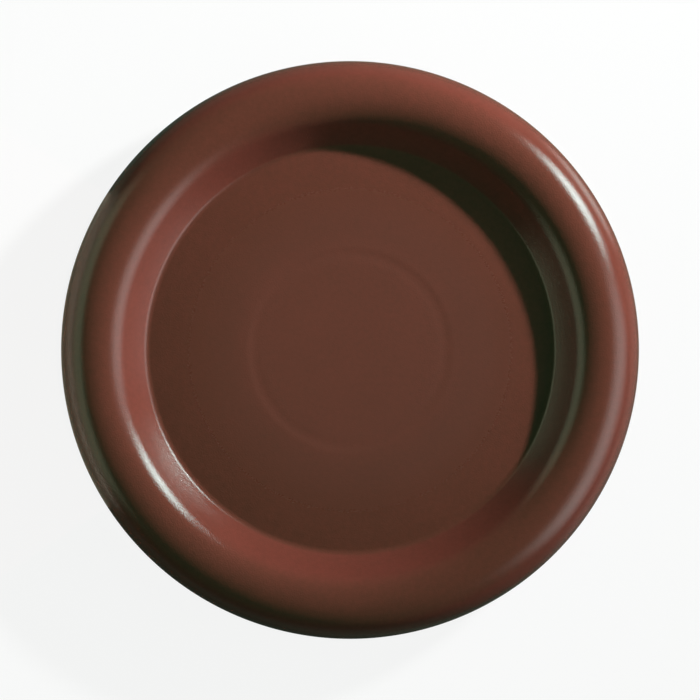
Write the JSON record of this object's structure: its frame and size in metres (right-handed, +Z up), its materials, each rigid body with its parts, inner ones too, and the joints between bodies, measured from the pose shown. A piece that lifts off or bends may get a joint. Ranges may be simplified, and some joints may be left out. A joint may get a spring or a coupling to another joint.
{
  "type": "plant saucer",
  "caption": "Round glazed stoneware plant saucer with a fat rounded rim, sloped inner wall and slightly crowned floor, on rubber feet. It holds a plant pot and catches the water that drains from it.",
  "frame": {"origin": "on the ground plane, under the middle of the dish", "axes": "+Z up along the axis of the dish; +X and +Y lie in the ground plane, with a vent hole of the hollow rim on +X and the rubber feet on the diagonals"},
  "size_m": [0.2, 0.2, 0.0262],
  "materials": {
    "stoneware": "bare fired stoneware, matt and slightly gritty",
    "brown_glaze": "satin reddish-brown glaze with a fine grain",
    "foot_rubber": "matt black rubber",
    "adhesive": "translucent acrylic adhesive"
  },
  "bodies": {
    "root": {"saucer_body": "stoneware", "glaze_coat": "brown_glaze", "foot_pad_1": "foot_rubber", "foot_pad_2": "foot_rubber", "foot_pad_3": "foot_rubber", "foot_pad_4": "foot_rubber", "pad_adhesive_1": "adhesive", "pad_adhesive_2": "adhesive", "pad_adhesive_3": "adhesive", "pad_adhesive_4": "adhesive"}
  },
  "joints": []
}
